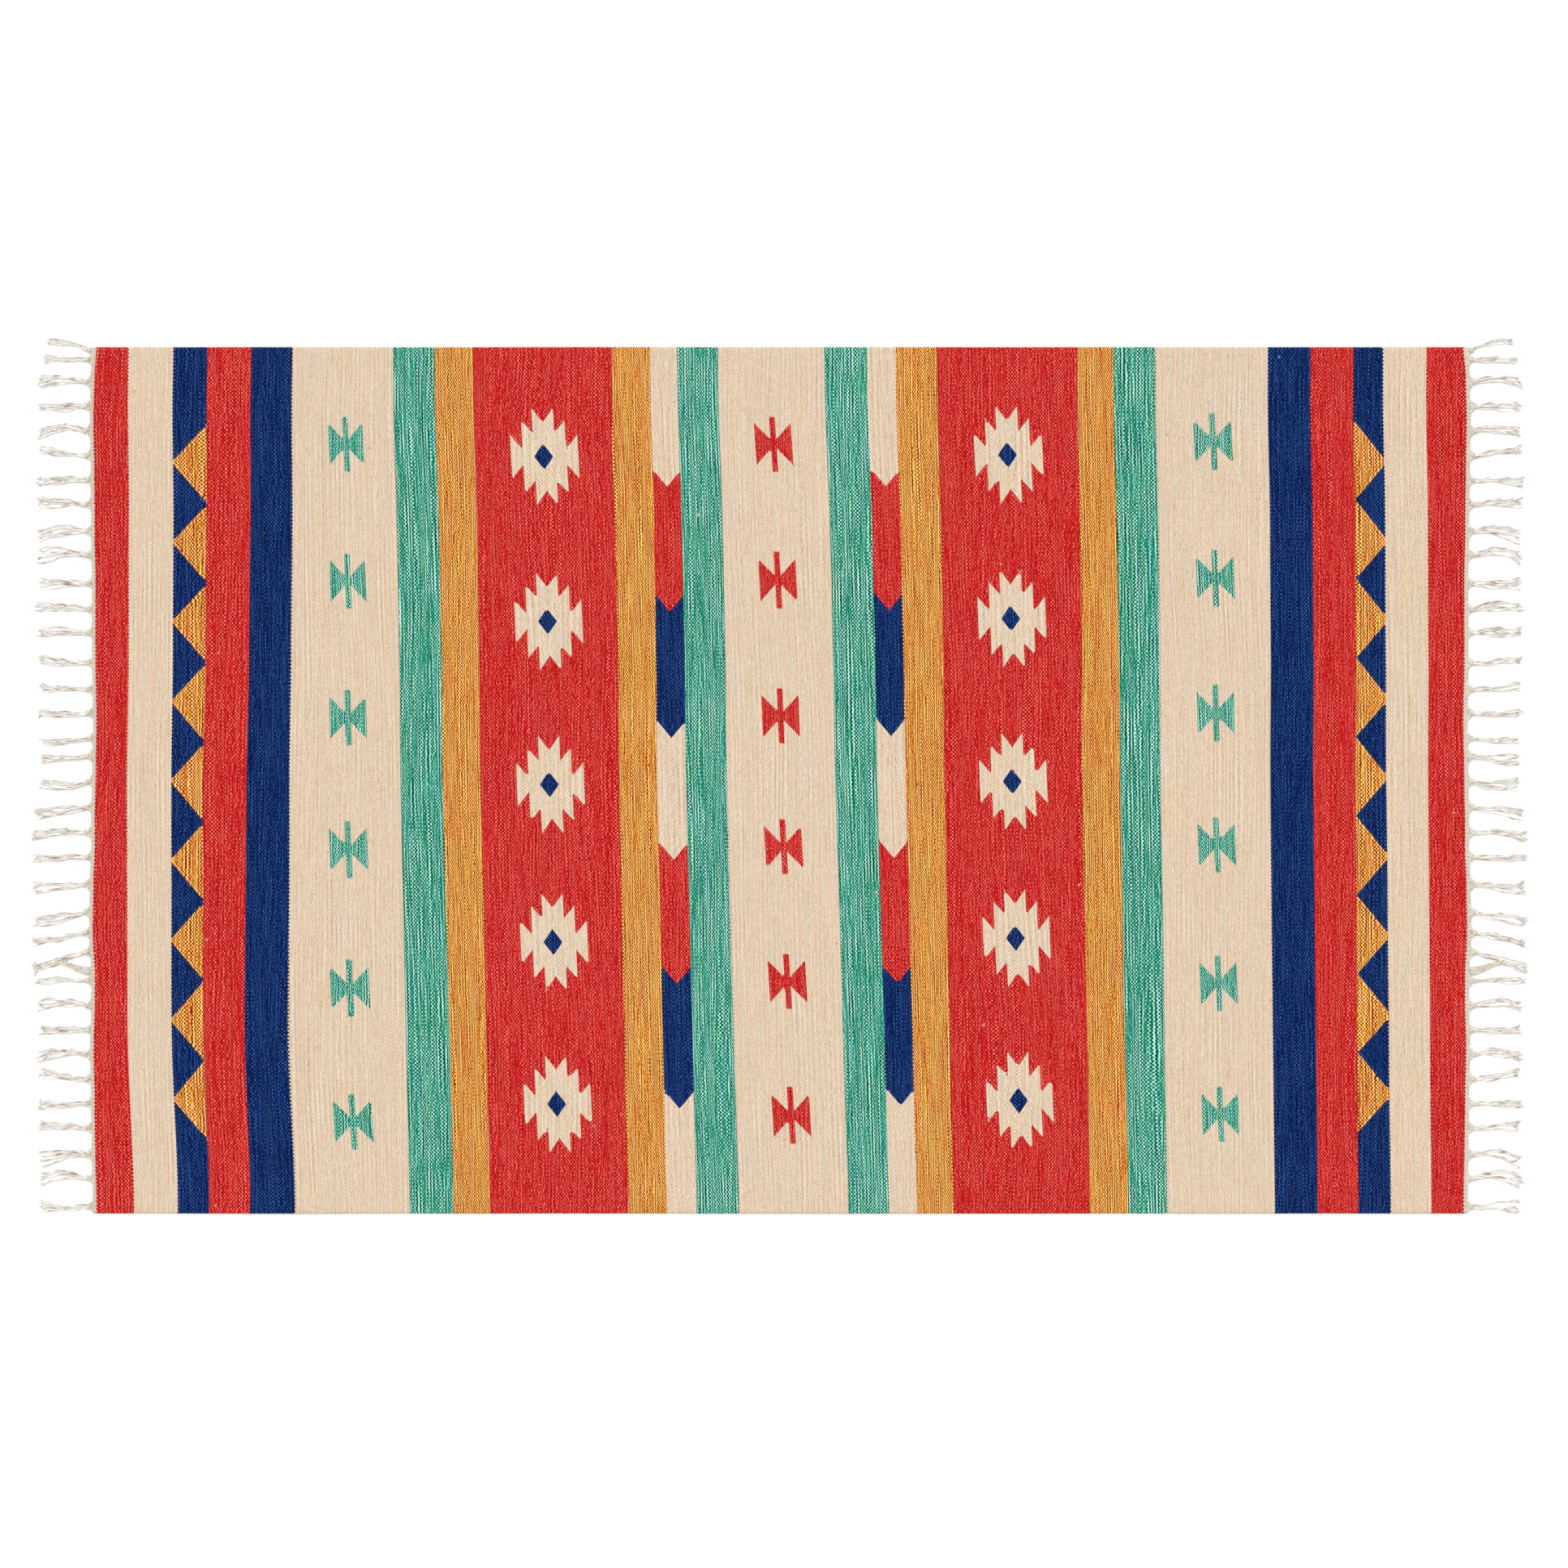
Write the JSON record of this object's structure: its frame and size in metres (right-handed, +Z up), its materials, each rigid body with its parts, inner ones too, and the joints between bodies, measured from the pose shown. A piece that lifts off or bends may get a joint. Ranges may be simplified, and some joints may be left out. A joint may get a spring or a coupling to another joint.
{
  "type": "kilim rug",
  "caption": "Flat-woven cotton kilim with coloured stripes and small woven figures, a knotted fringe at each end; lies flat on a floor.",
  "frame": {"origin": "on the floor, under the middle of the box that holds the rug and its fringe", "axes": "+X along the rug's length, with the warps; +Y across its width, with the wefts; +Z up, out of the face of the cloth"},
  "size_m": [2.5798, 1.512, 0.007],
  "materials": {
    "dyed_cotton_weft": "matt, weft-faced plain weave in red, cream, navy, teal and ochre yarn",
    "natural_cotton_warp": "matt, undyed twisted yarn"
  },
  "bodies": {
    "root": {"kilim_cloth": "dyed_cotton_weft", "fringe_left": "natural_cotton_warp", "fringe_right": "natural_cotton_warp"}
  },
  "joints": []
}
